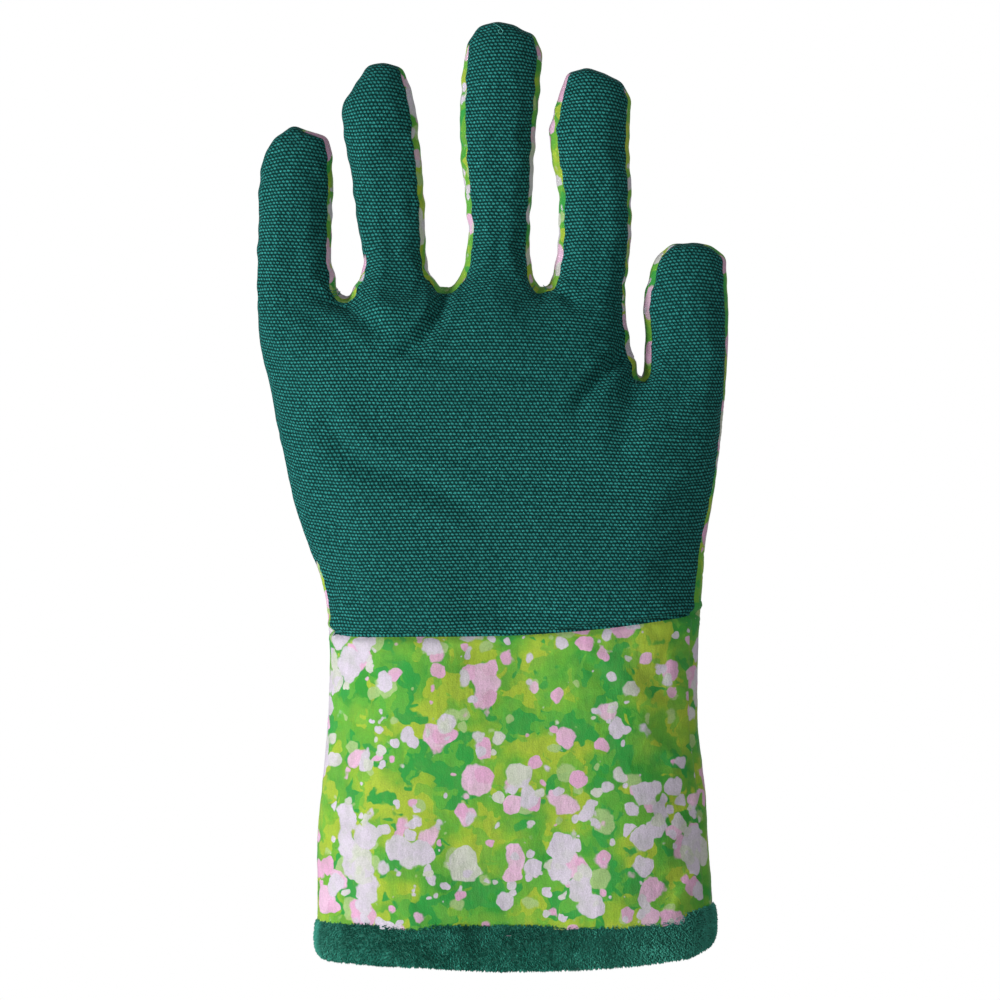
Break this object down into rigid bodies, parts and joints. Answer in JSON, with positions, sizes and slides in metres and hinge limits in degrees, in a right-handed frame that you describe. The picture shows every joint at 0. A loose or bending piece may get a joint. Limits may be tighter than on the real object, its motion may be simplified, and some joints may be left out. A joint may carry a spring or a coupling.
{
  "type": "work glove",
  "caption": "Lined right-hand work glove with a woven canvas palm, a printed velour back, a gauntlet cuff and a plush hem band.",
  "frame": {"origin": "centre of the cuff's mouth, in the plane of the hem's lower edge", "axes": "+Z from the cuff's mouth to the fingertips, -Y out of the palm, +X towards the thumb"},
  "size_m": [0.1384, 0.0316, 0.279],
  "materials": {
    "teal_canvas": "plain-woven canvas, matt",
    "printed_velour": "short-napped velour with a blotchy floral print",
    "plush_binding": "short plush pile",
    "lining_cloth": "brushed cotton lining"
  },
  "bodies": {
    "hand": {"hem_band": "plush_binding", "cuff_front": "printed_velour", "cuff_back": "printed_velour", "cuff_lining": "lining_cloth", "heel_canvas": "teal_canvas", "heel_print": "printed_velour", "heel_lining": "lining_cloth", "palm_canvas": "teal_canvas", "palm_print": "printed_velour", "palm_lining": "lining_cloth"},
    "little_lower": {"little_lower_canvas": "teal_canvas", "little_lower_print": "printed_velour", "little_lower_lining": "lining_cloth"},
    "little_upper": {"little_upper_canvas": "teal_canvas", "little_upper_print": "printed_velour", "little_upper_lining": "lining_cloth"},
    "ring_lower": {"ring_lower_canvas": "teal_canvas", "ring_lower_print": "printed_velour", "ring_lower_lining": "lining_cloth"},
    "ring_upper": {"ring_upper_canvas": "teal_canvas", "ring_upper_print": "printed_velour", "ring_upper_lining": "lining_cloth"},
    "middle_lower": {"middle_lower_canvas": "teal_canvas", "middle_lower_print": "printed_velour", "middle_lower_lining": "lining_cloth"},
    "middle_upper": {"middle_upper_canvas": "teal_canvas", "middle_upper_print": "printed_velour", "middle_upper_lining": "lining_cloth"},
    "index_lower": {"index_lower_canvas": "teal_canvas", "index_lower_print": "printed_velour", "index_lower_lining": "lining_cloth"},
    "index_upper": {"index_upper_canvas": "teal_canvas", "index_upper_print": "printed_velour", "index_upper_lining": "lining_cloth"},
    "thumb_lower": {"thumb_lower_canvas": "teal_canvas", "thumb_lower_print": "printed_velour", "thumb_lower_lining": "lining_cloth"},
    "thumb_upper": {"thumb_upper_canvas": "teal_canvas", "thumb_upper_print": "printed_velour", "thumb_upper_lining": "lining_cloth"}
  },
  "joints": [
    {"name": "little_root_bend", "type": "hinge", "parent": "hand", "child": "little_lower", "pos_m": [-0.0652, -0.0015, 0.2005], "axis": [1, 0, 0], "range_deg": [0, 80]},
    {"name": "little_middle_bend", "type": "hinge", "parent": "little_lower", "child": "little_upper", "pos_m": [-0.06424, -0.0015, 0.223], "axis": [1, 0, 0], "range_deg": [0, 80]},
    {"name": "ring_root_bend", "type": "hinge", "parent": "hand", "child": "ring_lower", "pos_m": [-0.0346, -0.0015, 0.2005], "axis": [1, 0, 0], "range_deg": [0, 80]},
    {"name": "ring_middle_bend", "type": "hinge", "parent": "ring_lower", "child": "ring_upper", "pos_m": [-0.03699, -0.0015, 0.232], "axis": [1, 0, 0], "range_deg": [0, 80]},
    {"name": "middle_root_bend", "type": "hinge", "parent": "hand", "child": "middle_lower", "pos_m": [-0.0052, -0.0015, 0.2005], "axis": [1, 0, 0], "range_deg": [0, 80]},
    {"name": "middle_middle_bend", "type": "hinge", "parent": "middle_lower", "child": "middle_upper", "pos_m": [-0.00491, -0.0015, 0.238], "axis": [1, 0, 0], "range_deg": [0, 80]},
    {"name": "index_root_bend", "type": "hinge", "parent": "hand", "child": "index_lower", "pos_m": [0.0223, -0.0015, 0.2005], "axis": [1, 0, 0], "range_deg": [0, 80]},
    {"name": "index_middle_bend", "type": "hinge", "parent": "index_lower", "child": "index_upper", "pos_m": [0.02225, -0.0015, 0.231], "axis": [1, 0, 0], "range_deg": [0, 80]},
    {"name": "thumb_root_bend", "type": "hinge", "parent": "hand", "child": "thumb_lower", "pos_m": [0.0496, -0.0015, 0.16705], "axis": [0.9397, 0, -0.342], "range_deg": [0, 70]},
    {"name": "thumb_middle_bend", "type": "hinge", "parent": "thumb_lower", "child": "thumb_upper", "pos_m": [0.05017, -0.0015, 0.191], "axis": [0.9397, 0, -0.342], "range_deg": [0, 70]}
  ]
}
